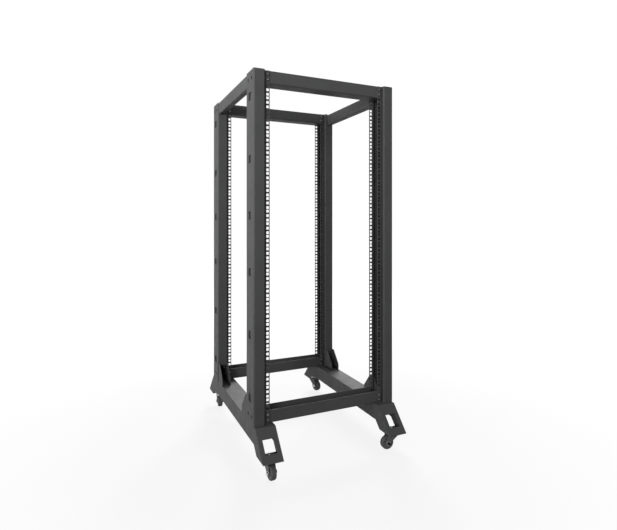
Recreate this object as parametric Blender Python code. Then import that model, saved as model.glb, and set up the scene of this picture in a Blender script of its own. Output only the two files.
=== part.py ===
"""Open four-post equipment rack on swivel casters.

Metres, +Z up. The origin is on the floor under the middle of the rack, and the front faces -Y.
Inside a corner, u runs inwards from the outer side of the post and v runs inwards from its front
(or, on a rear post, from its back), so one description serves all four corners.
"""

import math

import bmesh
import bpy
from mathutils import Matrix, Vector

MM = 0.001

# Rack standard: bay width, unit height, hole centres above the foot of a unit, hole size, and the
# distance of the hole centres from the flange's edge, which puts the two columns 465.1 mm apart.
BAY_WIDTH = 450.0 * MM
UNIT_HEIGHT = 44.45 * MM
UNITS = 26
HOLE_RISES = (6.35 * MM, 22.225 * MM, 38.1 * MM)
HOLE_SIZE = 9.5 * MM
HOLE_INSET = 7.55 * MM

# Folded sheet steel, the bend radius inside a fold, and the gap kept between pieces that touch.
SHEET = 2.0 * MM
BEND = 1.5 * MM
GAP = 0.3 * MM

# Posts: closed face, step back to the punched flange, flange, depth, plain ends, and frame depth.
POST_FACE = 42.0 * MM
POST_RECESS = 12.0 * MM
POST_FLANGE = 21.0 * MM
POST_DEPTH = 86.0 * MM
POST_END = 46.0 * MM
FRAME_DEPTH = 600.0 * MM

# Pressed recesses in the outer side of a post, by their height in units from the lowest hole group.
PRESSING_UNITS = (1.0, 6.0, 11.0, 15.5, 20.0, 25.0)
PRESSING_WIDTH = 30.0 * MM
PRESSING_HEIGHT = 28.0 * MM
PRESSING_DEPTH = 3.5 * MM

# Beams are channels open at the top. Cross beams sit between the flanges of the posts, and side beams
# run into the posts through a notch.
BEAM_HEIGHT = 45.6 * MM
BEAM_LAP = 19.0 * MM
SIDE_BEAM_HEIGHT = 48.0 * MM
SIDE_BEAM_DROP = 4.0 * MM
SIDE_BEAM_WIDTH = 26.0 * MM
SIDE_BEAM_INSERT = 76.0 * MM

# Base members: folded channels with sloping ends, foot pads for the casters and ears at the posts.
BASE_WIDTH = 74.0 * MM
BASE_TOP = 154.0 * MM
BASE_MIDDLE_DEPTH = 60.0 * MM
BASE_SHOULDER = 12.0 * MM
FOOT_REACH = 94.0 * MM
PAD_LENGTH = 72.0 * MM
PAD_STEP = 28.0 * MM
WINDOW_WIDTH = 42.0 * MM
WINDOW_LENGTH = 50.0 * MM
WINDOW_SHARE = 0.54
EAR_SPACING = 35.0 * MM
EAR_HEIGHT = 84.0 * MM
EAR_TONGUE_HEIGHT = 48.0 * MM
EAR_INSERT = 74.0 * MM
EAR_TONGUE_LENGTH = 44.0 * MM
EAR_FLAT = 18.0 * MM
EAR_REACH = 66.0 * MM
EAR_TOE = 26.0 * MM

# Casters: overall height under the pad, swivel place ahead of the post, trail, wheel and fork.
CASTER_HEIGHT = 66.0 * MM
CASTER_AHEAD = 48.0 * MM
TRAIL = 20.0 * MM
WHEEL_DIAMETER = 50.0 * MM
WHEEL_WIDTH = 20.0 * MM
TYRE_THICKNESS = 7.0 * MM
TREAD_ROUND = 3.0 * MM
HUB_DISC = 13.0 * MM
HUB_BOSS_RADIUS = 8.5 * MM
HUB_BOSS_WIDTH = 22.4 * MM
AXLE_RADIUS = 4.0 * MM
AXLE_HEAD_RADIUS = 6.6 * MM
AXLE_HEAD = 4.0 * MM
STEM_RADIUS = 5.0 * MM
STEM_ABOVE_NUT = 4.0 * MM
COLLAR_RADIUS = 18.0 * MM
COLLAR_HEIGHT = 5.0 * MM
RIVET_RADIUS = 9.0 * MM
RIVET_HEIGHT = 3.0 * MM
NUT_RADIUS = 9.8 * MM
NUT_HEIGHT = 8.0 * MM
FORK_SHEET = 2.5 * MM
FORK_HEAD = 19.0 * MM
FORK_EYE = 10.0 * MM
FORK_CHEEK = 12.0 * MM
TURN_PLAY = 0.5 * MM

# The way each caster trails in the rest pose, in degrees from +X.
CASTER_HEADINGS = {
    "front_left": 274.0,
    "front_right": 176.0,
    "rear_left": 262.0,
    "rear_right": 282.0,
}

# Sides of the round pieces.
TYRE_SIDES = 16
HUB_SIDES = 12
PIN_SIDES = 8
NUT_SIDES = 6

HALF_WIDTH = BAY_WIDTH / 2 + POST_FLANGE + POST_FACE
HALF_DEPTH = FRAME_DEPTH / 2
POST_WIDTH = POST_FACE + POST_FLANGE
HOLES_IN = POST_WIDTH - HOLE_INSET
POST_FOOT = BASE_TOP + GAP
POST_LENGTH = UNITS * UNIT_HEIGHT + 2 * POST_END
POST_TOP = POST_FOOT + POST_LENGTH
FIRST_UNIT = POST_FOOT + POST_END
INSIDE_WEB = SHEET + GAP
FLANGE_BACK = POST_RECESS + SHEET + GAP
BASE_OUTER = INSIDE_WEB
BASE_MIDDLE = BASE_OUTER + BASE_WIDTH / 2
BASE_EDGE = BASE_TOP - BASE_MIDDLE_DEPTH
PAD_BOTTOM = CASTER_HEIGHT
AXLE_HEIGHT = WHEEL_DIAMETER / 2
FORK_GAP = HUB_BOSS_WIDTH / 2 + GAP

CORNERS = {
    "front_left": (-1, -1),
    "front_right": (1, -1),
    "rear_left": (-1, 1),
    "rear_right": (1, 1),
}

BEYOND = 10.0 * MM


def clear_scene():
    for old in list(bpy.data.objects):
        bpy.data.objects.remove(old, do_unlink=True)


def material(name, colour, roughness, metallic):
    made = bpy.data.materials.new(name)
    made.use_nodes = True
    shader = made.node_tree.nodes["Principled BSDF"]
    shader.inputs["Base Color"].default_value = (*colour, 1.0)
    shader.inputs["Roughness"].default_value = roughness
    shader.inputs["Metallic"].default_value = metallic
    return made


def corner_point(side, end, u, v, z):
    """World place of a point given inwards from the corner of one post."""
    return Vector((side * (HALF_WIDTH - u), end * (HALF_DEPTH - v), z))


def around(radius, sides):
    """Corner radius of the polygon that just clears a circle."""
    return radius / math.cos(math.pi / sides)


def new_object(name, bm, look=None, origin=Vector((0, 0, 0))):
    """Object of a mesh that is given in world coordinates, with its own origin."""
    bmesh.ops.recalc_face_normals(bm, faces=bm.faces)
    bm.transform(Matrix.Translation(-origin))
    mesh = bpy.data.meshes.new(name)
    bm.to_mesh(mesh)
    bm.free()
    made = bpy.data.objects.new(name, mesh)
    made.location = origin
    bpy.context.scene.collection.objects.link(made)
    if look:
        mesh.materials.append(look)
    return made


def smooth(made, angle=math.radians(40)):
    made.data.shade_smooth()
    made.data.set_sharp_from_angle(angle=angle)


def add_prism(bm, outline, lift):
    """Closed prism of a planar outline, swept along one vector."""
    low = [bm.verts.new(point) for point in outline]
    high = [bm.verts.new(Vector(point) + lift) for point in outline]
    bm.faces.new(low)
    bm.faces.new(high)
    count = len(outline)
    for here in range(count):
        there = (here + 1) % count
        bm.faces.new((low[here], low[there], high[there], high[here]))


def add_box(bm, first, second):
    """Box between two opposite corners."""
    x0, y0, z0 = first
    x1, y1, z1 = second
    outline = [Vector((x0, y0, z0)), Vector((x1, y0, z0)), Vector((x1, y1, z0)), Vector((x0, y1, z0))]
    add_prism(bm, outline, Vector((0, 0, z1 - z0)))


def add_turned(bm, profile, sides, phase=0.0):
    """Ring or solid of revolution about Z. A profile that starts on the axis is closed at its poles."""
    rings = []
    for radius, z in profile:
        if radius == 0:
            rings.append([bm.verts.new((0, 0, z))])
            continue
        angles = [phase + 2 * math.pi * step / sides for step in range(sides)]
        rings.append([bm.verts.new((radius * math.cos(a), radius * math.sin(a), z)) for a in angles])
    closed_ring = profile[0][0] > 0
    pairs = list(zip(rings, rings[1:]))
    if closed_ring:
        pairs.append((rings[-1], rings[0]))
    for low, high in pairs:
        for here in range(sides):
            there = (here + 1) % sides
            if len(low) == 1:
                bm.faces.new((low[0], high[here], high[there]))
            elif len(high) == 1:
                bm.faces.new((low[here], low[there], high[0]))
            else:
                bm.faces.new((low[here], low[there], high[there], high[here]))


def rounded_path(path, thickness):
    """Path of a sheet's outer side with each fold cut to the bend's chord."""
    points = [Vector(path[0])]
    for before, here, after in zip(path, path[1:], path[2:]):
        before, here, after = Vector(before), Vector(here), Vector(after)
        towards = (here - before).normalized()
        away = (after - here).normalized()
        turn = towards.x * away.y - towards.y * away.x
        cut = BEND + thickness if turn < 0 else BEND
        points += [here - towards * cut, here + away * cut]
    points.append(Vector(path[-1]))
    return points


def sheet_outline(path, thickness):
    """Outline of a folded sheet, whose metal lies on the right of its path."""
    points = rounded_path(path, thickness)
    offset = []
    for index, here in enumerate(points):
        normals = []
        for first, second in ((index - 1, index), (index, index + 1)):
            if 0 <= first and second < len(points):
                along = (points[second] - points[first]).normalized()
                normals.append(Vector((along.y, -along.x)))
        mean = sum(normals, Vector((0, 0))).normalized()
        offset.append(here + mean * (thickness / mean.dot(normals[0])))
    return points + offset[::-1]


def combine(target, tool, operation):
    """Join a hidden tool's shape to an object, or take it out."""
    tool.hide_render = True
    tool.display_type = "WIRE"
    change = target.modifiers.new(operation.lower(), "BOOLEAN")
    change.operation = operation
    change.solver = "EXACT"
    change.object = tool


def cut(target, cutter):
    combine(target, cutter, "DIFFERENCE")


def make_post(corner, look):
    """Folded C section, open towards the bay, with two flanges punched to the rack standard."""
    side, end = CORNERS[corner]
    path = [
        (POST_WIDTH, POST_RECESS),
        (POST_FACE, POST_RECESS),
        (POST_FACE, 0),
        (0, 0),
        (0, POST_DEPTH),
        (POST_FACE, POST_DEPTH),
        (POST_FACE, POST_DEPTH - POST_RECESS),
        (POST_WIDTH, POST_DEPTH - POST_RECESS),
    ]
    bm = bmesh.new()
    outline = [corner_point(side, end, u, v, POST_FOOT) for u, v in sheet_outline(path, SHEET)]
    add_prism(bm, outline, Vector((0, 0, POST_LENGTH)))
    post = new_object(f"post_{corner}", bm, look)
    backs = bmesh.new()
    add_pressings(backs, corner, (SHEET / 2, PRESSING_DEPTH + SHEET), SHEET)
    combine(post, new_object(f"pressing_backs_{corner}", backs), "UNION")
    cut(post, make_post_cutter(corner))


def add_corner_box(bm, corner, u_range, v_range, z_range):
    side, end = CORNERS[corner]
    first = corner_point(side, end, u_range[0], v_range[0], z_range[0])
    second = corner_point(side, end, u_range[1], v_range[1], z_range[1])
    add_box(bm, first, second)


def add_pressings(bm, corner, u_range, margin):
    """Boxes at the pressed recesses of a post, wider than the recesses by a margin."""
    middle = POST_DEPTH / 2
    across = PRESSING_WIDTH / 2 + margin
    along = PRESSING_HEIGHT / 2 + margin
    for height in PRESSING_UNITS:
        z = FIRST_UNIT + height * UNIT_HEIGHT
        add_corner_box(bm, corner, u_range, (middle - across, middle + across), (z - along, z + along))


def make_post_cutter(corner):
    """Square holes through both flanges, recesses, and the notches for the beam and the ears."""
    bm = bmesh.new()

    def box(u_range, v_range, z_range):
        add_corner_box(bm, corner, u_range, v_range, z_range)

    hole = HOLE_SIZE / 2
    for unit in range(UNITS):
        for rise in HOLE_RISES:
            z = FIRST_UNIT + unit * UNIT_HEIGHT + rise
            box((HOLES_IN - hole, HOLES_IN + hole), (-BEYOND, POST_DEPTH + BEYOND), (z - hole, z + hole))
    add_pressings(bm, corner, (-BEYOND, PRESSING_DEPTH), 0.0)
    inner_wall = (POST_DEPTH - 2 * (SHEET + BEND), POST_DEPTH + BEYOND)
    beam_side = INSIDE_WEB + SIDE_BEAM_WIDTH + GAP
    beam_low = POST_TOP - SIDE_BEAM_DROP - SIDE_BEAM_HEIGHT - GAP
    box((INSIDE_WEB - GAP / 2, beam_side), inner_wall, (beam_low, POST_TOP + BEYOND))
    ear_side = BASE_OUTER + EAR_SPACING + SHEET + GAP
    ear_top = BASE_TOP + EAR_HEIGHT + GAP
    box((INSIDE_WEB - GAP / 2, ear_side), inner_wall, (POST_FOOT - BEYOND, ear_top))
    return new_object(f"cut_post_{corner}", bm)


def channel_outline(near, far, low, high):
    """Section of a beam: a channel that is open at its top, between two distances in from the post."""
    return sheet_outline([(far, high), (far, low), (near, low), (near, high)], SHEET)


def make_cross_beam(level, end_name, look):
    """Channel between a pair of posts, with its walls against the flanges."""
    end = {"front": -1, "rear": 1}[end_name]
    low = {"top": POST_TOP - BEAM_HEIGHT, "bottom": POST_FOOT}[level]
    section = channel_outline(FLANGE_BACK, POST_DEPTH - FLANGE_BACK, low, low + BEAM_HEIGHT)
    reach = BAY_WIDTH / 2 + BEAM_LAP
    bm = bmesh.new()
    outline = [Vector((-reach, end * (HALF_DEPTH - v), z)) for v, z in section]
    add_prism(bm, outline, Vector((2 * reach, 0, 0)))
    new_object(f"{level}_beam_{end_name}", bm, look)


def make_side_beam(side_name, look):
    """Channel from the front post to the rear post, held inside their outer walls."""
    side = {"left": -1, "right": 1}[side_name]
    high = POST_TOP - SIDE_BEAM_DROP
    section = channel_outline(INSIDE_WEB, INSIDE_WEB + SIDE_BEAM_WIDTH, high - SIDE_BEAM_HEIGHT, high)
    half_length = HALF_DEPTH - POST_DEPTH + SIDE_BEAM_INSERT
    bm = bmesh.new()
    outline = [Vector((side * (HALF_WIDTH - u), -half_length, z)) for u, z in section]
    add_prism(bm, outline, Vector((0, 2 * half_length, 0)))
    new_object(f"top_beam_{side_name}", bm, look)


def ear_outline():
    """The ear of a front post: (v, z) from its tongue inside the post to its toe on the channel."""
    wall = POST_DEPTH
    return [
        (wall - EAR_INSERT, BASE_TOP),
        (wall - EAR_INSERT, BASE_TOP + EAR_TONGUE_HEIGHT),
        (wall - EAR_INSERT + EAR_TONGUE_LENGTH, BASE_TOP + EAR_TONGUE_HEIGHT),
        (wall - EAR_FLAT / 2, BASE_TOP + EAR_HEIGHT),
        (wall + EAR_FLAT, BASE_TOP + EAR_HEIGHT),
        (wall + EAR_REACH, BASE_TOP + EAR_TOE),
        (wall + EAR_REACH, BASE_TOP),
    ]


def both_ends(half):
    """Closed outline (y, z) from its front half, which is given in v, mirrored to the rear."""
    front = [(v - HALF_DEPTH, z) for v, z in half]
    rear = [(-y, z) for y, z in reversed(front)]
    return front + rear


def make_base(side_name, look):
    """Folded channel along one side, with sloping ends, caster pads and two ears at each post."""
    side = {"left": -1, "right": 1}[side_name]
    foot_tip = (-FOOT_REACH, PAD_BOTTOM)
    pad_heel = -FOOT_REACH + PAD_LENGTH
    half = [
        (pad_heel + PAD_STEP, BASE_EDGE),
        (pad_heel, PAD_BOTTOM),
        foot_tip,
        (-BASE_SHOULDER, BASE_TOP),
        *ear_outline(),
    ]

    def swept(bm, outline, u_range):
        x_first, x_second = (side * (HALF_WIDTH - u) for u in u_range)
        points = [Vector((x_first, y, z)) for y, z in outline]
        add_prism(bm, points, Vector((x_second - x_first, 0, 0)))

    bm = bmesh.new()
    swept(bm, both_ends(half), (BASE_OUTER, BASE_OUTER + BASE_WIDTH))
    base = new_object(f"base_{side_name}", bm, look)

    run, drop = FOOT_REACH - BASE_SHOULDER, BASE_TOP - PAD_BOTTOM
    slope = math.hypot(run, drop)
    lean = SHEET * slope / drop
    under_pad = PAD_BOTTOM + SHEET
    inner_tip = -FOOT_REACH + lean + SHEET * run / drop
    inner_shoulder = -BASE_SHOULDER + lean - SHEET * run / drop
    hollow = [
        (pad_heel, PAD_BOTTOM - BEYOND),
        (pad_heel, under_pad),
        (inner_tip, under_pad),
        (inner_shoulder, BASE_TOP - SHEET),
    ]
    above = [(-BASE_SHOULDER - BEYOND, BASE_TOP), (-BASE_SHOULDER - BEYOND, BASE_TOP + EAR_HEIGHT + BEYOND)]
    inner_ear = BASE_OUTER + EAR_SPACING
    bm = bmesh.new()
    swept(bm, both_ends(hollow), (BASE_OUTER + SHEET, BASE_OUTER + BASE_WIDTH - SHEET))
    swept(bm, both_ends(above), (BASE_OUTER + SHEET, inner_ear))
    swept(bm, both_ends(above), (inner_ear + SHEET, BASE_OUTER + BASE_WIDTH + BEYOND))
    cut(base, new_object(f"cut_base_{side_name}", bm))
    bm = bmesh.new()
    for end in (-1, 1):
        add_window(bm, side, end, run / slope, drop / slope, slope)
        add_stem_hole(bm, side, end)
    cut(base, new_object(f"cut_feet_{side_name}", bm))


def add_window(bm, side, end, run, drop, slope):
    """Opening square through a sloping end, for a spanner to reach the caster's nut."""
    along = Vector((0, -run, -drop))
    outwards = Vector((0, -drop, run))
    middle = slope * WINDOW_SHARE
    outline = []
    for u_sign, s_sign in ((-1, -1), (1, -1), (1, 1), (-1, 1)):
        down = along * (middle + s_sign * WINDOW_LENGTH / 2) - outwards * BEYOND
        u = BASE_MIDDLE + u_sign * WINDOW_WIDTH / 2
        v = -BASE_SHOULDER + down.y
        outline.append(corner_point(side, end, u, v, BASE_TOP + down.z))
    add_prism(bm, outline, Vector((0, -end * outwards.y, outwards.z)) * 2 * BEYOND)


def add_stem_hole(bm, side, end):
    """Hole for a caster's stem in its pad."""
    hole = bmesh.new()
    radius = around(STEM_RADIUS + GAP, PIN_SIDES)
    add_turned(hole, [(0, -BEYOND), (radius, -BEYOND), (radius, BEYOND), (0, BEYOND)], PIN_SIDES)
    middle = corner_point(side, end, BASE_MIDDLE, -CASTER_AHEAD, PAD_BOTTOM)
    hole.transform(Matrix.Translation(middle))
    mesh = bpy.data.meshes.new("stem_hole")
    hole.to_mesh(mesh)
    hole.free()
    bm.from_mesh(mesh)
    bpy.data.meshes.remove(mesh)


def turned_object(name, profile, sides, place, look, phase=0.0):
    """Turned piece whose axis is its own Z, placed by a matrix."""
    bm = bmesh.new()
    add_turned(bm, profile, sides, phase)
    made = new_object(name, bm, look)
    made.matrix_world = place
    smooth(made)
    return made


def fork_side_outline():
    """Side view of the fork, (trail, height): head over the swivel, cheeks down to the axle's eye."""
    head_top = CASTER_HEIGHT - GAP - COLLAR_HEIGHT - GAP
    eye = [
        (TRAIL + FORK_EYE * math.cos(a), AXLE_HEIGHT + FORK_EYE * math.sin(a))
        for a in (math.radians(20 - 66 * step) for step in range(4))
    ]
    return [(-FORK_HEAD, head_top), (FORK_HEAD, head_top), *eye, (-FORK_HEAD, head_top - FORK_CHEEK)]


def make_fork(name, place, look):
    """Pressed fork: a U over the wheel, trimmed to its side view, with the swivel and axle holes."""
    head_top = CASTER_HEIGHT - GAP - COLLAR_HEIGHT - GAP
    outer = FORK_GAP + FORK_SHEET
    reach = TRAIL + FORK_EYE + BEYOND
    path = [(-outer, 0), (-outer, head_top), (outer, head_top), (outer, 0)]
    bm = bmesh.new()
    outline = [Vector((-FORK_HEAD - BEYOND, y, z)) for y, z in sheet_outline(path, FORK_SHEET)]
    add_prism(bm, outline, Vector((reach + FORK_HEAD + BEYOND, 0, 0)))
    fork = new_object(name, bm, look)
    fork.matrix_world = place

    bm = bmesh.new()
    side_view = [Vector((x, -outer - BEYOND, z)) for x, z in fork_side_outline()]
    add_prism(bm, side_view, Vector((0, 2 * (outer + BEYOND), 0)))
    keep = new_object(f"keep_{name}", bm)
    keep.matrix_world = place
    keep.hide_render = True
    keep.display_type = "WIRE"
    trim = fork.modifiers.new("trim", "BOOLEAN")
    trim.operation = "INTERSECT"
    trim.solver = "EXACT"
    trim.object = keep

    bm = bmesh.new()
    swivel = around(STEM_RADIUS + TURN_PLAY, PIN_SIDES)
    low, high = head_top - FORK_SHEET - BEYOND / 2, head_top + BEYOND
    add_turned(bm, [(0, low), (swivel, low), (swivel, high), (0, high)], PIN_SIDES)
    pin = bmesh.new()
    hole = around(AXLE_RADIUS + GAP, PIN_SIDES)
    wide = outer + BEYOND
    add_turned(pin, [(0, -wide), (hole, -wide), (hole, wide), (0, wide)], PIN_SIDES)
    pin.transform(Matrix.Translation((TRAIL, 0, AXLE_HEIGHT)) @ Matrix.Rotation(math.pi / 2, 4, "X"))
    mesh = bpy.data.meshes.new("axle_hole")
    pin.to_mesh(mesh)
    pin.free()
    bm.from_mesh(mesh)
    bpy.data.meshes.remove(mesh)
    holes = new_object(f"cut_{name}", bm)
    holes.matrix_world = place
    cut(fork, holes)


def make_caster(corner, looks):
    """Swivel caster: stem and nut on the pad, fork on the stem, axle in the fork, wheel on the axle."""
    side, end = CORNERS[corner]
    name = f"caster_{corner}"
    swivel = corner_point(side, end, BASE_MIDDLE, -CASTER_AHEAD, 0)
    upright = Matrix.Translation(swivel)
    turned = upright @ Matrix.Rotation(math.radians(CASTER_HEADINGS[corner]), 4, "Z")
    across = turned @ Matrix.Translation((TRAIL, 0, AXLE_HEIGHT)) @ Matrix.Rotation(math.pi / 2, 4, "X")

    pad_top = PAD_BOTTOM + SHEET
    nut_foot = pad_top + GAP
    nut_top = nut_foot + NUT_HEIGHT
    collar_top = PAD_BOTTOM - GAP
    collar_low = collar_top - COLLAR_HEIGHT
    rivet_top = collar_low - GAP - FORK_SHEET - GAP
    stem = [
        (0, rivet_top - RIVET_HEIGHT),
        (RIVET_RADIUS, rivet_top - RIVET_HEIGHT),
        (RIVET_RADIUS, rivet_top),
        (STEM_RADIUS, rivet_top),
        (STEM_RADIUS, collar_low),
        (COLLAR_RADIUS, collar_low),
        (COLLAR_RADIUS, collar_top),
        (STEM_RADIUS, collar_top),
        (STEM_RADIUS, nut_top + STEM_ABOVE_NUT),
        (0, nut_top + STEM_ABOVE_NUT),
    ]
    turned_object(f"{name}_stem", stem, PIN_SIDES, upright, looks["zinc"])

    bore = around(STEM_RADIUS + GAP, NUT_SIDES)
    nut = [(bore, nut_foot), (NUT_RADIUS, nut_foot), (NUT_RADIUS, nut_top), (bore, nut_top)]
    turned_object(f"{name}_nut", nut, NUT_SIDES, upright, looks["zinc"])

    make_fork(f"{name}_fork", turned, looks["fork"])

    grip = FORK_GAP + FORK_SHEET + GAP
    axle = [
        (0, -grip - AXLE_HEAD),
        (AXLE_HEAD_RADIUS, -grip - AXLE_HEAD),
        (AXLE_HEAD_RADIUS, -grip),
        (AXLE_RADIUS, -grip),
        (AXLE_RADIUS, grip),
        (AXLE_HEAD_RADIUS, grip),
        (AXLE_HEAD_RADIUS, grip + AXLE_HEAD),
        (0, grip + AXLE_HEAD),
    ]
    turned_object(f"{name}_axle", axle, NUT_SIDES, across, looks["zinc"])

    rim = WHEEL_DIAMETER / 2 - TYRE_THICKNESS
    bore = around(AXLE_RADIUS + TURN_PLAY, HUB_SIDES)
    boss, disc = HUB_BOSS_WIDTH / 2, HUB_DISC / 2
    hub = [
        (bore, -boss),
        (HUB_BOSS_RADIUS, -boss),
        (rim - GAP, -disc),
        (rim - GAP, disc),
        (HUB_BOSS_RADIUS, boss),
        (bore, boss),
    ]
    turned_object(f"{name}_hub", hub, HUB_SIDES, across, looks["hub"], math.pi / HUB_SIDES)

    tread, seat = around(WHEEL_DIAMETER / 2, TYRE_SIDES), around(rim, TYRE_SIDES)
    shoulder = tread - TREAD_ROUND
    wall = WHEEL_WIDTH / 2
    tyre = [
        (seat, -wall),
        (shoulder, -wall),
        (tread, -wall + TREAD_ROUND),
        (tread, wall - TREAD_ROUND),
        (shoulder, wall),
        (seat, wall),
    ]
    turned_object(f"{name}_tyre", tyre, TYRE_SIDES, across, looks["tyre"], math.pi / TYRE_SIDES)


def main():
    clear_scene()
    paint = material("dark_powder_coat", (0.085, 0.086, 0.088), 0.55, 0.0)
    looks = {
        "zinc": material("zinc_plated_steel", (0.62, 0.63, 0.65), 0.35, 1.0),
        "fork": material("grey_pressed_steel", (0.16, 0.16, 0.165), 0.45, 0.0),
        "hub": material("grey_nylon", (0.18, 0.18, 0.185), 0.5, 0.0),
        "tyre": material("dark_rubber", (0.09, 0.09, 0.092), 0.7, 0.0),
    }
    for corner in CORNERS:
        make_post(corner, paint)
        make_caster(corner, looks)
    for level in ("top", "bottom"):
        for end_name in ("front", "rear"):
            make_cross_beam(level, end_name, paint)
    for side_name in ("left", "right"):
        make_side_beam(side_name, paint)
        make_base(side_name, paint)


main()
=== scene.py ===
"""Looks of the open four-post rack: paint, metal, rubber, fasteners, detailed casters, light and camera."""

import math

import bmesh
import bpy
from mathutils import Matrix, Vector


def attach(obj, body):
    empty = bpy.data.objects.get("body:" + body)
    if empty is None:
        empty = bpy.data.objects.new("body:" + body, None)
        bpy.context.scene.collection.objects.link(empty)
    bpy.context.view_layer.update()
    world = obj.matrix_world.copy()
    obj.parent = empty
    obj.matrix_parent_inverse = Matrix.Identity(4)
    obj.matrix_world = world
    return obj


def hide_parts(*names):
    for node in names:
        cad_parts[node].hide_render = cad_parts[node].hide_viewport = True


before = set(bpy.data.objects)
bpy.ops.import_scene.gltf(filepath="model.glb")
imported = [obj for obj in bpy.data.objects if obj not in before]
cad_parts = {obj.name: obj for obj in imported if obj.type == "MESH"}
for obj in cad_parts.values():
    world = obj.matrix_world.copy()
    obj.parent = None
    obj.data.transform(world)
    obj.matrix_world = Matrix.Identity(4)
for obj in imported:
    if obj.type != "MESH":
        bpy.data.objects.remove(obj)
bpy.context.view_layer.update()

MM = 0.001


def scaled(profile):
    """Profile of (radius, height) in metres, from one in millimetres."""
    return [(radius * MM, height * MM) for radius, height in profile]


# Sizes of the part that the posts, fasteners and casters follow.
HALF_WIDTH = 288.0 * MM
HALF_DEPTH = 300.0 * MM
POST_FOOT = 154.3 * MM
POST_TOP = 1402.0 * MM
POST_DEPTH = 86.0 * MM
POST_END = 46.0 * MM
RECESS = 12.0 * MM
SHEET = 2.0 * MM
GAP = 0.3 * MM
UNIT_HEIGHT = 44.45 * MM
FIRST_UNIT = POST_FOOT + POST_END
HOLE_COLUMN = 465.1 * MM / 2

# Tab of a post's inner face that hangs between the two ears: inwards from the side, in depth, in height.
TAB_ACROSS = (4.9 * MM, 36.7 * MM)
TAB_DEEP = (84.05 * MM, 85.95 * MM)
TAB_HIGH = (224.0 * MM, 239.5 * MM)

# Pressed recesses in a post's outer wall, by the height of their middles in units above the first unit.
PRESSING_UNITS = (1.0, 6.0, 11.0, 15.5, 20.0, 25.0)
PRESSING_WIDTH = 30.0 * MM
PRESSING_HEIGHT = 28.0 * MM
PRESSING_DEPTH = 3.5 * MM

# Places of the fasteners: rises from a post's end, offsets from the middle of its outer wall, and how far
# a nut lies behind the face, past two sheets and their gap with a little play.
SCREW_RISES = (12.6 * MM, 31.8 * MM)
BOLT_RISE = 29.0 * MM
BOLT_OFFSETS = (-19.5 * MM, 19.5 * MM)
NUT_PLAY = 0.05 * MM
NUT_DEPTH = 2 * SHEET + GAP + NUT_PLAY

# Screws: profiles of the head and its washer, and half the length and width and the floor of the cross.
PAN_HEAD = scaled([(0, 0), (4.4, 0), (4.6, 0.5), (4.3, 1.4), (3.4, 2.1), (2.1, 2.5), (0, 2.6)])
CUP_WASHER = scaled([(3.3, 0), (7.0, 0), (7.3, 0.4), (7.1, 1.2), (6.2, 1.7), (5.0, 1.4), (3.3, 1.2)])
CROSS_REACH = 2.4 * MM
CROSS_HALF_WIDTH = 0.45 * MM
CROSS_FLOOR = 1.1 * MM

# Bolts: flat heads a hair under the face, their straight rims and hexagon sockets, and the countersinks
# in the posts, which narrow to a throat just behind the sheet and end further in.
BOLT_HEAD_RADIUS = 8.0 * MM
BOLT_SINK = 0.15 * MM
BOLT_RIM = 0.3 * MM
SOCKET_RADIUS = 2.9 * MM
SOCKET_DEPTH = 1.2 * MM
SINK_THROAT = 1.1 * SHEET
SINK_END = 1.5 * SHEET

# Nuts and hexagon heads: across the flats, height, radius of the bore and chamfer.
SCREW_NUT = (8.0 * MM, 4.0 * MM, 2.6 * MM, 0.6 * MM)
BOLT_NUT = (13.0 * MM, 6.5 * MM, 4.2 * MM, 0.6 * MM)
CASTER_NUT = (17.0 * MM, 8.0 * MM, 5.2 * MM, 0.9 * MM)
AXLE_NUT = (11.5 * MM, 3.0 * MM, 4.1 * MM, 0.5 * MM)
AXLE_HEAD = (11.5 * MM, 3.0 * MM, 2.4 * MM, 0.5 * MM)

# Casters: swivel place, trail, heights and the fork's outer faces, as in the part.
SWIVEL = (248.7 * MM, 348.0 * MM)
TRAIL = 20.0 * MM
AXLE_HEIGHT = 25.0 * MM
PAD_TOP = 66.0 * MM + SHEET
FORK_OUTER = 14.0 * MM

# Wheels: one half of the tyre's and of the hub's profile, and the pockets between the hub's ribs.
TYRE_SHOULDER = [(18.1, 9.6), (19.0, 10.0), (21.2, 9.9), (23.2, 9.0), (24.5, 7.3), (25.0, 5.5)]
TYRE_GROOVE = [(25.0, 4.6), (24.6, 4.3), (24.6, 3.5), (25.0, 3.2)]
TYRE_HALF = scaled(TYRE_SHOULDER + TYRE_GROOVE)
HUB_BOSS = [(4.8, 11.2), (7.8, 11.2), (8.4, 10.6), (8.8, 7.4)]
HUB_RIM = [(15.0, 7.2), (15.6, 8.8), (17.6, 8.8), (17.9, 8.5)]
HUB_HALF = scaled(HUB_BOSS + HUB_RIM)
POCKETS = 6
POCKET_TURN = 42.0
POCKET_STEPS = 5
POCKET_RADII = (9.6 * MM, 14.6 * MM)
POCKET_FLOOR = 2.8 * MM

# Axles: half the length between the washers, radius, what stands out at the head and at the nut, the tip's
# chamfer, the washers' profile and their seat in the fork, and the floor of the head's socket.
AXLE_GRIP = FORK_OUTER + 0.2 * MM
AXLE_RADIUS = 4.0 * MM
AXLE_TAIL = 1.2 * MM
AXLE_TIP = 4.0 * MM
AXLE_CHAMFER = 0.6 * MM
AXLE_WASHER = scaled([(4.1, 0), (7.2, 0), (7.4, 0.2), (7.4, 0.7), (7.2, 0.9), (4.1, 0.9)])
WASHER_THICKNESS = AXLE_WASHER[-1][1]
WASHER_SEAT = 0.1 * MM
SOCKET_FLOOR = scaled([(0, 1.4), (2.5, 1.4), (2.5, 3.0), (0, 3.0)])

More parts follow.
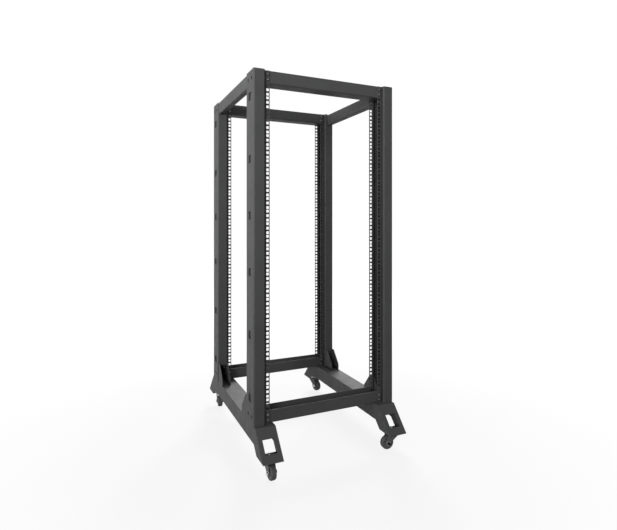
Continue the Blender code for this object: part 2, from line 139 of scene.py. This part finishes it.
# Stems: riveted foot under the fork, race under the pad, and the thread above the pad, with the places of
# its root and crest as shares of a turn.
STEM_FOOT = scaled([(0, 54.6), (6.6, 54.6), (8.4, 55.5), (8.9, 56.8), (8.6, 57.6), (5.0, 57.6)])
RACE_UNDER = [(5.0, 60.7), (15.0, 60.7), (17.2, 61.2), (18.0, 62.4)]
RACE_OVER = [(17.8, 64.2), (16.8, 65.4), (15.0, 65.7), (5.0, 65.7)]
STEM_RACE = scaled(RACE_UNDER + RACE_OVER)
THREAD_LOW = PAD_TOP + 0.2 * MM
THREAD_TOP = 80.3 * MM
THREAD_TURNS = 9
THREAD_END = 0.8 * MM
CREST_RADIUS = 5.0 * MM
ROOT_RADIUS = 4.5 * MM
TIP_RADIUS = 4.2 * MM
ROOT_SHARE = 0.45
CREST_SHARE = 0.95

# Rounded edges of the forks: width, steps, and the least fold that gets one. Folds below FLAT are none.
ROUND_WIDTH = 0.6 * MM
ROUND_STEPS = 3
ROUND_FOLD = math.radians(40)
FLAT = math.radians(1)

# Sides of the round pieces, and the fold from which an edge is drawn sharp.
ROUND_SIDES = 24
WASHER_SIDES = 32
STEM_SIDES = 48
HUB_SIDES = 60
TYRE_SIDES = 64
SHARP_FOLD = math.radians(35)

# Cutters reach well past the piece that they cut, and corners closer than a weld are one.
CUTTER_REACH = 4.0 * MM
POCKET_REACH = 20.0 * MM
WELD = 0.01 * MM

# Corners: side, end, and the way that the caster trails at rest, in degrees from +X.
CORNERS = {
    "front_left": (-1, -1, 274.0),
    "front_right": (1, -1, 176.0),
    "rear_left": (-1, 1, 262.0),
    "rear_right": (1, 1, 282.0),
}
LEVELS = ("top", "bottom")

# Shade that is part of the paint. Tight corners and the deep inside of the posts are found by how much the
# same piece closes the view within a reach. The recesses are found by a mark on their faces.
SHADE_SAMPLES = 8
NOOK_REACH = 16.0 * MM
NOOK_RANGE = (0.6, 0.95)
NOOK_SHADE = 0.3
DEEP_REACH = 100.0 * MM
DEEP_RANGE = (0.3, 0.6)
DEEP_INSET = (12.0 * MM, 22.0 * MM)
DEEP_SHADE = 0.2
PRESSED = "pressed"
PRESSED_WALL = 0.5
PRESSED_FLOOR = 1.0
PRESSED_SHADE = 0.6

# Worn edges: samples of the soft normal, and its dot product with the true one off and on an edge.
EDGE_SAMPLES = 4
EDGE_DOTS = (0.99, 0.8)

# Floor: half its size, its drop under the wheels, its two tones, and the glow that the camera sees near
# the part and, within a range of distances, away from it.
FLOOR_REACH = 14.0
FLOOR_DROP = 0.4 * MM
FLOOR_TONES = ((0.088, 0.088, 0.088), (0.094, 0.094, 0.094))
FLOOR_GLOW = (0.86, 1.0)
FLOOR_GLOW_RANGE = (0.7, 2.4)

# Light: level of the white world on the part, and lamps by place, target, width, power and spread.
WHITE = (1.0, 1.0, 1.0, 1.0)
AMBIENT = 0.37
LAMPS = {
    "left": ((-5.5, -0.5, 1.7), (0, 0, 2.1), 2.0, 18.0, 60.0),
    "front": ((-2.6, -2.6, 1.4), (0, 0, 1.9), 1.2, 19.0, 85.0),
    "rear": ((1.3, 2.8, 2.8), (0, 0, 0.3), 1.6, 172.0, 180.0),
}

# Camera, from the fit to the photo: picture size, focal length and middle of the view in pixels, place, and
# turn about the vertical. It looks level.
IMAGE = (617, 530)
FOCAL = 463.76
VIEW_MIDDLE = (308.28, 223.47)
CAMERA_PLACE = (-0.78219, -1.83732, 0.86145)
CAMERA_TURN = -0.4283
SENSOR_WIDTH = 36.0


# Materials.


class Nodes:
    """Small helper around one material's node tree."""

    def __init__(self, name):
        self.material = bpy.data.materials.new(name)
        self.material.use_nodes = True
        self.tree = self.material.node_tree
        self.shader = self.tree.nodes["Principled BSDF"]
        self.place = self.add("ShaderNodeTexCoord").outputs["Object"]

    def add(self, kind, **values):
        node = self.tree.nodes.new(kind)
        for key, value in values.items():
            setattr(node, key, value)
        return node

    def link(self, start, end):
        self.tree.links.new(start, end)

    def noise(self, scale, detail=3.0, rough=0.55, stretch=None):
        """Noise over the piece's own metres, if asked stretched along an axis."""
        node = self.add("ShaderNodeTexNoise")
        node.inputs["Scale"].default_value = scale
        node.inputs["Detail"].default_value = detail
        node.inputs["Roughness"].default_value = rough
        place = self.place
        if stretch:
            mapping = self.add("ShaderNodeMapping")
            mapping.inputs["Scale"].default_value = stretch
            self.link(place, mapping.inputs["Vector"])
            place = mapping.outputs["Vector"]
        self.link(place, node.inputs["Vector"])
        return node.outputs["Fac"]

    def ramp(self, value, low, high, first=0.0, second=1.0):
        """Value from first to second as the input goes from low to high."""
        node = self.add("ShaderNodeMapRange")
        node.inputs["From Min"].default_value = low
        node.inputs["From Max"].default_value = high
        node.inputs["To Min"].default_value = first
        node.inputs["To Max"].default_value = second
        self.link(value, node.inputs["Value"])
        return node.outputs["Result"]

    def product(self, first, second):
        node = self.add("ShaderNodeMath", operation="MULTIPLY")
        self.link(first, node.inputs[0])
        self.link(second, node.inputs[1])
        return node.outputs["Value"]

    def mix(self, factor, first, second):
        """Colour mix; each of the two is a colour or an output."""
        node = self.add("ShaderNodeMix", data_type="RGBA")
        self.link(factor, node.inputs["Factor"])
        for value, socket in ((first, node.inputs[6]), (second, node.inputs[7])):
            if isinstance(value, bpy.types.NodeSocket):
                self.link(value, socket)
            else:
                socket.default_value = (*value, 1.0)
        return node.outputs[2]

    def nook(self, reach, low, high):
        """1 where other walls of the same piece close the view within a reach, 0 in the open."""
        node = self.add("ShaderNodeAmbientOcclusion", samples=SHADE_SAMPLES, only_local=True)
        node.inputs["Distance"].default_value = reach
        return self.ramp(node.outputs["AO"], low, high, 1.0, 0.0)

    def deep_inside(self):
        """1 inside a post and close to its outer wall, where painted shade darkens it, and 0 elsewhere."""
        apart = self.add("ShaderNodeSeparateXYZ")
        self.link(self.place, apart.inputs[0])
        side = self.add("ShaderNodeMath", operation="ABSOLUTE")
        self.link(apart.outputs["X"], side.inputs[0])
        near, far = (HALF_WIDTH - inset for inset in DEEP_INSET)
        return self.product(self.ramp(side.outputs["Value"], far, near), self.nook(DEEP_REACH, *DEEP_RANGE))

    def edges(self, radius):
        """Soft normal round the edges, and a mask that is 1 on them."""
        soft = self.add("ShaderNodeBevel", samples=EDGE_SAMPLES)
        soft.inputs["Radius"].default_value = radius
        geometry = self.add("ShaderNodeNewGeometry")
        dot = self.add("ShaderNodeVectorMath", operation="DOT_PRODUCT")
        self.link(soft.outputs["Normal"], dot.inputs[0])
        self.link(geometry.outputs["Normal"], dot.inputs[1])
        return soft.outputs["Normal"], self.ramp(dot.outputs["Value"], *EDGE_DOTS)

    def bump(self, height, strength, distance, normal):
        node = self.add("ShaderNodeBump")
        node.inputs["Strength"].default_value = strength
        node.inputs["Distance"].default_value = distance
        self.link(height, node.inputs["Height"])
        self.link(normal, node.inputs["Normal"])
        self.link(node.outputs["Normal"], self.shader.inputs["Normal"])

    def colour(self, output):
        self.link(output, self.shader.inputs["Base Color"])

    def roughness(self, output):
        self.link(output, self.shader.inputs["Roughness"])


def painted(name, dark, pale, worn, rough, grain, edge, post=False):
    """Powder coat: cloudy tone, fine grain, pale edges, painted shade in corners and, on posts, inside and in
    recesses.
    """
    made = Nodes(name)
    made.shader.inputs["Specular IOR Level"].default_value = 0.12
    normal, mask = made.edges(edge)
    cloud = made.noise(9.0, detail=4.0, rough=0.6)
    tone = made.mix(made.ramp(cloud, 0.3, 0.7), dark, pale)
    speck = made.noise(1500.0, detail=1.0, rough=0.5)
    fleck = made.mix(made.ramp(speck, 0.52, 0.72, 0.0, 0.35), tone, worn)
    wear = made.noise(60.0, detail=5.0, rough=0.65)
    # Paler paint on the edges: partly wear, partly a painted highlight where the bends catch light.
    colour = made.mix(made.product(mask, made.ramp(wear, 0.35, 0.75, 0.1, 0.75)), fleck, worn)
    # Painted shade: darker paint in the tight corners of the piece, where shade falls.
    dim = tuple(NOOK_SHADE * value for value in dark)
    nook = made.nook(NOOK_REACH, *NOOK_RANGE)
    if post:
        # On posts, painted shade on the floors of the pressed recesses, and no corner shade on their walls or
        # floors.
        pressed = made.add("ShaderNodeAttribute", attribute_name=PRESSED).outputs["Fac"]
        floor = made.ramp(pressed, PRESSED_WALL, PRESSED_FLOOR, 0.0, PRESSED_SHADE)
        colour = made.mix(floor, colour, dim)
        nook = made.product(nook, made.ramp(pressed, 0.0, PRESSED_WALL, 1.0, 0.0))
    colour = made.mix(nook, colour, dim)
    # On posts, painted shade deep inside, close to the outer wall.
    if post:
        deep_shade_colour = tuple(DEEP_SHADE * value for value in dark)
        colour = made.mix(made.deep_inside(), colour, deep_shade_colour)
    made.colour(colour)
    made.roughness(made.ramp(made.noise(25.0), 0.3, 0.7, rough - 0.05, rough + 0.06))
    made.bump(made.noise(grain, detail=2.0, rough=0.5), 0.12, 0.4 * MM, normal)
    return made.material


def zinc(name, dark, pale):
    """Plated steel: turning marks, dull patches and a soft sheen."""
    made = Nodes(name)
    made.shader.inputs["Metallic"].default_value = 1.0
    normal, mask = made.edges(0.5 * MM)
    patch = made.noise(140.0, detail=4.0, rough=0.6)
    tone = made.mix(made.ramp(patch, 0.3, 0.7), dark, pale)
    made.colour(made.mix(made.ramp(mask, 0.0, 1.0, 0.0, 0.5), tone, (0.74, 0.74, 0.76)))
    made.roughness(made.ramp(made.noise(320.0), 0.3, 0.7, 0.3, 0.5))
    marks = made.noise(260.0, detail=2.0, rough=0.5, stretch=(1.0, 1.0, 14.0))
    made.bump(marks, 0.08, 0.2 * MM, normal)
    return made.material


def moulded(name, dark, pale, rough, grain):
    """Moulded nylon or rubber: fine grain and faint dusty patches."""
    made = Nodes(name)
    normal, mask = made.edges(0.8 * MM)
    patch = made.noise(70.0, detail=4.0, rough=0.6)
    tone = made.mix(made.ramp(patch, 0.35, 0.7), dark, pale)
    made.colour(made.mix(made.ramp(mask, 0.0, 1.0, 0.0, 0.3), tone, pale))
    made.roughness(made.ramp(made.noise(45.0), 0.3, 0.7, rough - 0.08, rough + 0.08))
    made.bump(made.noise(grain, detail=2.0, rough=0.5), 0.18, 0.3 * MM, normal)
    return made.material


COAT = {
    "dark": (0.079, 0.0795, 0.081),
    "pale": (0.091, 0.0915, 0.093),
    "worn": (0.14, 0.141, 0.143),
    "rough": 0.55,
    "grain": 2300.0,
    "edge": 1.6 * MM,
}
PAINT = painted("dark_powder_coat", **COAT)
ZINC = zinc("zinc_plated_steel", (0.42, 0.43, 0.44), (0.58, 0.59, 0.6))
# The posts' coat carries more painted shade: deep inside and on the recess floors.
POST_PAINT_AND_SHADE = painted("dark_powder_coat_with_painted_shade_of_posts", **COAT, post=True)
FORK_PAINT = painted(
    "satin_grey",
    dark=(0.14, 0.14, 0.142),
    pale=(0.18, 0.18, 0.182),
    worn=(0.26, 0.26, 0.26),
    rough=0.42,
    grain=1800.0,
    edge=0.8 * MM,
)
SCREW = zinc("dull_nickel_screws", (0.1, 0.1, 0.104), (0.15, 0.15, 0.154))
BLACK_STEEL = painted(
    "black_oxide_steel",
    dark=(0.006, 0.006, 0.0065),
    pale=(0.012, 0.012, 0.0125),
    worn=(0.03, 0.03, 0.031),
    rough=0.5,
    grain=1600.0,
    edge=0.4 * MM,
)
BLACK_NYLON = moulded("black_nylon", (0.014, 0.014, 0.015), (0.024, 0.024, 0.025), 0.5, 900.0)
NYLON = moulded("grey_nylon", (0.15, 0.15, 0.155), (0.2, 0.2, 0.205), 0.5, 900.0)
RUBBER = moulded("dark_rubber", (0.075, 0.075, 0.077), (0.11, 0.11, 0.111), 0.72, 1400.0)


# Mesh helpers.


def circle(radius, z, sides):
    """Points round Z."""
    angles = (2 * math.pi * step / sides for step in range(sides))
    return [(radius * math.cos(a), radius * math.sin(a), z) for a in angles]


def lathe(bm, profile, sides, place=Matrix()):
    """Closed turned shape about Z, from a profile (r, z) that starts and ends on the axis or is a ring."""
    rings = []
    for radius, z in profile:
        points = circle(radius, z, sides) if radius > 0 else [(0, 0, z)]
        rings.append([bm.verts.new(place @ Vector(point)) for point in points])
    pairs = list(zip(rings, rings[1:]))
    if profile[0][0] > 0:
        pairs.append((rings[-1], rings[0]))
    for low, high in pairs:
        for here in range(sides):
            there = (here + 1) % sides
            if len(low) == 1:
                bm.faces.new((low[0], high[there], high[here]))
            elif len(high) == 1:
                bm.faces.new((low[here], low[there], high[0]))
            else:
                bm.faces.new((low[here], low[there], high[there], high[here]))


def prism(bm, outline, lift, place=Matrix()):
    """Closed prism of a flat outline."""
    low = [bm.verts.new(place @ Vector(point)) for point in outline]
    high = [bm.verts.new(place @ (Vector(point) + Vector(lift))) for point in outline]
    bm.faces.new(low[::-1])
    bm.faces.new(high)
    for here in range(len(low)):
        there = (here + 1) % len(low)
        bm.faces.new((low[here], low[there], high[there], high[here]))


def mirrored(half):
    """Ring profile that is the same on both sides, from its half."""
    return [(radius, -z) for radius, z in half] + half[::-1]


def mesh_object(name, bm, look):
    """Finished piece of a bmesh, smooth where it is round."""
    bmesh.ops.recalc_face_normals(bm, faces=bm.faces)
    mesh = bpy.data.meshes.new(name)
    bm.to_mesh(mesh)
    bm.free()
    if "custom_normal" in mesh.attributes:
        mesh.attributes.remove(mesh.attributes["custom_normal"])
    mesh.materials.append(look)
    mesh.shade_smooth()
    mesh.set_sharp_from_angle(angle=SHARP_FOLD)
    made = bpy.data.objects.new(name, mesh)
    bpy.context.scene.collection.objects.link(made)
    return made


def combined(solid, tool, operation="DIFFERENCE"):
    """A bmesh with another one's shape taken out of it or joined to it."""
    objects = []
    for bm in (solid, tool):
        bmesh.ops.recalc_face_normals(bm, faces=bm.faces)
        mesh = bpy.data.meshes.new("temporary")
        bm.to_mesh(mesh)
        bm.free()
        made = bpy.data.objects.new("temporary", mesh)
        bpy.context.scene.collection.objects.link(made)
        objects.append(made)
    change = objects[0].modifiers.new("change", "BOOLEAN")
    change.operation = operation
    change.solver = "EXACT"
    change.object = objects[1]
    bpy.context.view_layer.update()
    graph = bpy.context.evaluated_depsgraph_get()
    done = bmesh.new()
    done.from_mesh(objects[0].evaluated_get(graph).to_mesh())
    for made in objects:
        mesh = made.data
        bpy.data.objects.remove(made)
        bpy.data.meshes.remove(mesh)
    return done


def welded(node):
    """A CAD node's mesh with the corners of its faces joined."""
    bm = bmesh.new()
    bm.from_mesh(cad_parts[node].data)
    bmesh.ops.remove_doubles(bm, verts=bm.verts, dist=WELD)
    return bm


def merge(bm, part, place):
    """Add a copy of one bmesh to another."""
    mesh = bpy.data.meshes.new("temporary")
    part.to_mesh(mesh)
    mesh.transform(place)
    bm.from_mesh(mesh)
    bpy.data.meshes.remove(mesh)


def facing(point, normal):
    """Matrix that stands a piece's Z on a surface."""
    turn = Vector((0, 0, 1)).rotation_difference(Vector(normal)).to_matrix().to_4x4()
    return Matrix.Translation(point) @ turn


def lifted(z):
    """Matrix that moves a piece along its own axis."""
    return Matrix.Translation((0, 0, z))


# Fasteners.


def pan_screw():
    """Pan head with a cross recess, seated on its washer."""
    seat = CUP_WASHER[-1][1]
    head = bmesh.new()
    lathe(head, [(radius, seat + z) for radius, z in PAN_HEAD], ROUND_SIDES)
    for turn in (0.0, math.pi / 2):
        ends = ((-1, -1), (1, -1), (1, 1), (-1, 1))
        outline = [(x * CROSS_REACH, y * CROSS_HALF_WIDTH, seat + CROSS_FLOOR) for x, y in ends]
        slot = bmesh.new()
        prism(slot, outline, (0, 0, CUTTER_REACH), Matrix.Rotation(turn, 4, "Z"))
        head = combined(head, slot)
    return head


def cup_washer():
    """Dished plastic washer under a pan head."""
    ring = bmesh.new()
    lathe(ring, CUP_WASHER, ROUND_SIDES)
    return ring


def countersunk_bolt():
    """Flat head with a hexagon socket, a hair below the face that it is sunk in."""
    top = -BOLT_SINK
    rim = BOLT_HEAD_RADIUS - BOLT_SINK
    profile = [(0, -SHEET), (rim - SHEET / 2, -SHEET), (rim, top - BOLT_RIM), (rim, top), (0, top)]
    head = bmesh.new()
    lathe(head, profile, ROUND_SIDES)
    socket = bmesh.new()
    prism(socket, circle(SOCKET_RADIUS, top - SOCKET_DEPTH, 6), (0, 0, CUTTER_REACH))
    return combined(head, socket)


def hex_nut(across, height, bore, chamfer):
    """Hexagon nut with chamfered corners and a bore."""
    radius = across / 2 / math.cos(math.pi / 6)
    bm = bmesh.new()
    rings = []
    for z, shrink in ((0, chamfer), (chamfer, 0), (height - chamfer, 0), (height, chamfer)):
        ring = []
        for step in range(ROUND_SIDES):
            a = 2 * math.pi * step / ROUND_SIDES
            flat = across / 2 / math.cos((a + math.pi / 6) % (math.pi / 3) - math.pi / 6)
            reach = min(flat, radius - shrink)
            ring.append(bm.verts.new((reach * math.cos(a), reach * math.sin(a), z)))
        rings.append(ring)
    for z in (height, 0):
        rings.append([bm.verts.new(point) for point in circle(bore, z, ROUND_SIDES)])
    for low, high in zip(rings, rings[1:] + rings[:1]):
        for here in range(ROUND_SIDES):
            there = (here + 1) % ROUND_SIDES
            bm.faces.new((low[here], low[there], high[there], high[here]))
    return bm


def level_height(level, rise):
    """Height that lies a rise inwards from a post's top or foot."""
    return POST_TOP - rise if level == "top" else POST_FOOT + rise


def bolt_places(corner, level):
    """The two bolts through a post's outer wall, at the side beam or at the base's ear."""
    side, end, _ = CORNERS[corner]
    z = level_height(level, BOLT_RISE)
    middle = HALF_DEPTH - POST_DEPTH / 2
    points = [(side * HALF_WIDTH, end * (middle - offset), z) for offset in BOLT_OFFSETS]
    return [facing(point, (side, 0, 0)) for point in points]


def screw_places(end, level):
    """The screws through the flanges of a pair of posts, into the walls of a cross beam."""
    places = []
    for side in (-1, 1):
        for rise in SCREW_RISES:
            for deep, way in ((RECESS, 1), (POST_DEPTH - RECESS, -1)):
                point = (side * HOLE_COLUMN, end * (HALF_DEPTH - deep), level_height(level, rise))
                places.append(facing(point, (0, end * way, 0)))
    return places


def fastened(name, part, places, look):
    """One piece of several equal fasteners that ride on the frame."""
    bm = bmesh.new()
    for place in places:
        merge(bm, part, place)
    made = mesh_object(name, bm, look)
    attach(made, "frame")


def make_fasteners():
    screw = pan_screw()
    washer = cup_washer()
    bolt = countersunk_bolt()
    screw_nut = hex_nut(*SCREW_NUT)
    bolt_nut = hex_nut(*BOLT_NUT)
    behind = lifted(-NUT_DEPTH) @ Matrix.Rotation(math.pi, 4, "X")
    for level in LEVELS:
        for end_name, end in (("front", -1), ("rear", 1)):
            places = screw_places(end, level)
            fastened(f"screws_{level}_{end_name}", screw, places, SCREW)
            fastened(f"washers_{level}_{end_name}", washer, places, BLACK_NYLON)
            fastened(f"nuts_{level}_{end_name}", screw_nut, [place @ behind for place in places], SCREW)
    for corner in CORNERS:
        for level in LEVELS:
            places = bolt_places(corner, level)
            fastened(f"bolts_{level}_{corner}", bolt, places, BLACK_STEEL)
            fastened(f"bolt_nuts_{level}_{corner}", bolt_nut, [place @ behind for place in places], SCREW)
    for part in (screw, washer, bolt, screw_nut, bolt_nut):
        part.free()


# Casters.


def tyre_shape():
    """Tyre with rounded shoulders and two shallow tread grooves."""
    bm = bmesh.new()
    lathe(bm, mirrored(TYRE_HALF), TYRE_SIDES)
    return bm


def hub_shape():
    """Moulded wheel centre: rim, pockets between ribs on each side, and a bearing boss."""
    bm = bmesh.new()
    lathe(bm, mirrored(HUB_HALF), HUB_SIDES)
    pockets = bmesh.new()
    pitch = 360 / POCKETS
    low, high = POCKET_RADII
    for way in (1, -1):
        z = way * POCKET_FLOOR
        for pocket in range(POCKETS):
            first = pitch * pocket + (pitch - POCKET_TURN) / 2
            steps = range(POCKET_STEPS + 1)
            angles = [math.radians(first + POCKET_TURN * step / POCKET_STEPS) for step in steps]
            outer = [(high * math.cos(a), high * math.sin(a), z) for a in angles]
            inner = [(low * math.cos(a), low * math.sin(a), z) for a in reversed(angles)]
            prism(pockets, outer + inner, (0, 0, way * POCKET_REACH))
    return combined(bm, pockets)


def axle_shape():
    """Axle with a washer at each end and a lock nut at one."""
    tail, tip = -AXLE_GRIP - AXLE_TAIL, AXLE_GRIP + AXLE_TIP
    shoulder = (AXLE_RADIUS, tip - AXLE_CHAMFER)
    bm = bmesh.new()
    profile = [(0, tail), (AXLE_RADIUS, tail), shoulder, (AXLE_RADIUS - AXLE_CHAMFER, tip), (0, tip)]
    lathe(bm, profile, ROUND_SIDES)
    lathe(bm, AXLE_WASHER, WASHER_SIDES, lifted(AXLE_GRIP - WASHER_SEAT))
    lathe(bm, AXLE_WASHER, WASHER_SIDES, lifted(WASHER_SEAT - AXLE_GRIP - WASHER_THICKNESS))
    nut = hex_nut(*AXLE_NUT)
    merge(bm, nut, lifted(AXLE_GRIP + WASHER_THICKNESS))
    nut.free()
    return bm


def axle_head_shape():
    """Hexagon head with a socket at the axle's other end, as far out as the tip."""
    head = hex_nut(*AXLE_HEAD)
    lathe(head, SOCKET_FLOOR, ROUND_SIDES)
    head.transform(lifted(-AXLE_GRIP - AXLE_TIP))
    return head


def stem_shape():
    """Threaded stem over the pressed upper race, with the riveted foot that holds the fork."""
    profile = STEM_FOOT + STEM_RACE + [(CREST_RADIUS, THREAD_LOW)]
    pitch = (THREAD_TOP - THREAD_LOW - THREAD_END) / THREAD_TURNS
    for turn in range(THREAD_TURNS):
        z = THREAD_LOW + turn * pitch
        profile += [(ROOT_RADIUS, z + pitch * ROOT_SHARE), (CREST_RADIUS, z + pitch * CREST_SHARE)]
    profile += [(TIP_RADIUS, THREAD_TOP), (0, THREAD_TOP)]
    bm = bmesh.new()
    lathe(bm, profile, STEM_SIDES)
    return bm


def fork_object(name, node):
    """The pressed fork with its edges rounded over."""
    bm = welded(node)
    bmesh.ops.dissolve_limit(bm, angle_limit=FLAT, verts=bm.verts, edges=bm.edges)
    made = mesh_object(name, bm, FORK_PAINT)
    round_over = made.modifiers.new("round", "BEVEL")
    round_over.width = ROUND_WIDTH
    round_over.segments = ROUND_STEPS
    round_over.limit_method = "ANGLE"
    round_over.angle_limit = ROUND_FOLD
    round_over.use_clamp_overlap = True
    return made


def take_place(made, body, node):
    """Put a finished piece in the place of one CAD node."""
    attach(made, body)
    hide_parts(node)


def stand_in(name, bm, place, look, body, node):
    """A detailed piece in place of one CAD node."""
    bm.transform(place)
    take_place(mesh_object(name, bm, look), body, node)


def make_casters():
    for corner, (side, end, heading) in CORNERS.items():
        name = f"caster_{corner}"
        upright = Matrix.Translation((side * SWIVEL[0], end * SWIVEL[1], 0))
        turned = upright @ Matrix.Rotation(math.radians(heading), 4, "Z")
        across = turned @ Matrix.Translation((TRAIL, 0, AXLE_HEIGHT)) @ Matrix.Rotation(math.pi / 2, 4, "X")
        on_pad = upright @ lifted(PAD_TOP + GAP)
        wheel, fork = f"wheel_{corner}", f"fork_{corner}"
        stand_in(f"tyre_{corner}", tyre_shape(), across, RUBBER, wheel, f"{name}_tyre")
        stand_in(f"hub_{corner}", hub_shape(), across, NYLON, wheel, f"{name}_hub")
        stand_in(f"axle_{corner}", axle_shape(), across, ZINC, fork, f"{name}_axle")
        head = axle_head_shape()
        head.transform(across)
        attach(mesh_object(f"axle_head_{corner}", head, BLACK_STEEL), fork)
        stand_in(f"stem_{corner}", stem_shape(), upright, ZINC, "frame", f"{name}_stem")
        stand_in(f"nut_{corner}", hex_nut(*CASTER_NUT), on_pad, ZINC, "frame", f"{name}_nut")
        made = fork_object(f"fork_shell_{corner}", f"{name}_fork")
        take_place(made, fork, f"{name}_fork")


# Posts and paint.


def add_tab(post, corner):
    """The post with its tab between the ears of the base member."""
    side, end, _ = CORNERS[corner]
    low, high = TAB_HIGH
    outline = []
    for u, v in ((0, 0), (1, 0), (1, 1), (0, 1)):
        outline.append((side * (HALF_WIDTH - TAB_ACROSS[u]), end * (HALF_DEPTH - TAB_DEEP[v]), low))
    tab = bmesh.new()
    prism(tab, outline, (0, 0, high - low))
    return combined(post, tab, "UNION")


def sink_bolts(post, corner):
    """The post with its bolt holes countersunk."""
    rim = BOLT_HEAD_RADIUS
    throat = rim - SHEET / 2
    cone = [(0, -SINK_END), (throat, -SINK_END), (throat, -SINK_THROAT), (rim, 0), (rim, SHEET), (0, SHEET)]
    sinks = bmesh.new()
    for level in LEVELS:
        for place in bolt_places(corner, level):
            lathe(sinks, cone, ROUND_SIDES, place)
    return combined(post, sinks)


def mark_pressings(post, corner):
    """Mark the faces of a post's pressed recesses, for painted shade on their floors."""
    side, end, _ = CORNERS[corner]
    layer = post.faces.layers.float.new(PRESSED)
    middle = end * (HALF_DEPTH - POST_DEPTH / 2)
    for face in post.faces:
        x, y, z = face.calc_center_median()
        inset = HALF_WIDTH - side * x
        units = (z - FIRST_UNIT) / UNIT_HEIGHT
        off = min(abs(units - unit) for unit in PRESSING_UNITS) * UNIT_HEIGHT
        inside = abs(y - middle) < PRESSING_WIDTH / 2 + GAP and off < PRESSING_HEIGHT / 2 + GAP
        if inside and GAP < inset < PRESSING_DEPTH + GAP:
            face[layer] = PRESSED_FLOOR if inset > PRESSING_DEPTH - GAP else PRESSED_WALL


def make_posts():
    """The punched posts with their tabs and countersinks."""
    for corner in CORNERS:
        node = f"post_{corner}"
        post = sink_bolts(add_tab(welded(node), corner), corner)
        mark_pressings(post, corner)
        take_place(mesh_object(f"punched_{node}", post, POST_PAINT_AND_SHADE), "frame", node)


def paint_frame():
    """Paint on the beams and base members, which show as they are."""
    for name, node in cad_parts.items():
        if name.startswith(("caster_", "post_")):
            continue
        node.data.materials.clear()
        node.data.materials.append(PAINT)


# Stage, light and camera.


def seen_directly(tree):
    """1 for rays by which the camera sees, also in a mirror or through glass, and 0 for light on the part."""
    paths = tree.nodes.new("ShaderNodeLightPath")
    seen = paths.outputs["Is Camera Ray"]
    for kind in ("Is Glossy Ray", "Is Transmission Ray"):
        either = tree.nodes.new("ShaderNodeMath")
        either.operation = "MAXIMUM"
        tree.links.new(seen, either.inputs[0])
        tree.links.new(paths.outputs[kind], either.inputs[1])
        seen = either.outputs["Value"]
    return seen


def make_stage():
    """Pale floor that keeps the part's shadow."""
    made = Nodes("pale_floor")
    made.colour(made.mix(made.ramp(made.noise(2.0), 0.3, 0.7), *FLOOR_TONES))
    made.shader.inputs["Roughness"].default_value = 0.9
    made.shader.inputs["Specular IOR Level"].default_value = 0.0
    away = made.add("ShaderNodeVectorMath", operation="LENGTH")
    made.link(made.place, away.inputs[0])
    level = made.ramp(away.outputs["Value"], *FLOOR_GLOW_RANGE, *FLOOR_GLOW)
    glow = made.add("ShaderNodeEmission")
    glow.inputs["Color"].default_value = WHITE
    made.link(made.product(seen_directly(made.tree), level), glow.inputs["Strength"])
    both = made.add("ShaderNodeAddShader")
    made.link(made.shader.outputs["BSDF"], both.inputs[0])
    made.link(glow.outputs["Emission"], both.inputs[1])
    made.link(both.outputs["Shader"], made.tree.nodes["Material Output"].inputs["Surface"])
    bm = bmesh.new()
    corners = ((-1, -1), (1, -1), (1, 1), (-1, 1))
    bm.faces.new([bm.verts.new((x * FLOOR_REACH, y * FLOOR_REACH, -FLOOR_DROP)) for x, y in corners])
    mesh_object("floor", bm, made.material)


def make_world():
    """White background, at a lower level as light on the part."""
    world = bpy.data.worlds.new("studio")
    bpy.context.scene.world = world
    world.use_nodes = True
    tree = world.node_tree
    back = tree.nodes["Background"]
    back.inputs["Color"].default_value = WHITE
    strength = tree.nodes.new("ShaderNodeMapRange")
    strength.inputs["To Min"].default_value = AMBIENT
    strength.inputs["To Max"].default_value = 1.0
    tree.links.new(seen_directly(tree), strength.inputs["Value"])
    tree.links.new(strength.outputs["Result"], back.inputs["Strength"])


def make_lights():
    for name, (place, target, width, power, spread) in LAMPS.items():
        lamp = bpy.data.lights.new(name, "AREA")
        lamp.shape = "DISK"
        lamp.size = width
        lamp.energy = power
        lamp.spread = math.radians(spread)
        made = bpy.data.objects.new(name, lamp)
        made.location = place
        made.rotation_euler = (Vector(target) - Vector(place)).to_track_quat("-Z", "Y").to_euler()
        bpy.context.scene.collection.objects.link(made)


def make_camera():
    width, height = IMAGE
    middle, horizon = VIEW_MIDDLE
    data = bpy.data.cameras.new("camera")
    data.sensor_fit = "HORIZONTAL"
    data.sensor_width = SENSOR_WIDTH
    data.lens = FOCAL / width * SENSOR_WIDTH
    data.shift_x = (width / 2 - middle) / width
    data.shift_y = -(height / 2 - horizon) / width
    camera = bpy.data.objects.new("camera", data)
    camera.location = CAMERA_PLACE
    camera.rotation_euler = (math.pi / 2, 0, CAMERA_TURN)
    bpy.context.scene.collection.objects.link(camera)
    bpy.context.scene.camera = camera


paint_frame()
make_posts()
make_fasteners()
make_casters()
make_stage()
make_world()
make_lights()
make_camera()
bpy.context.scene.view_settings.view_transform = "Standard"
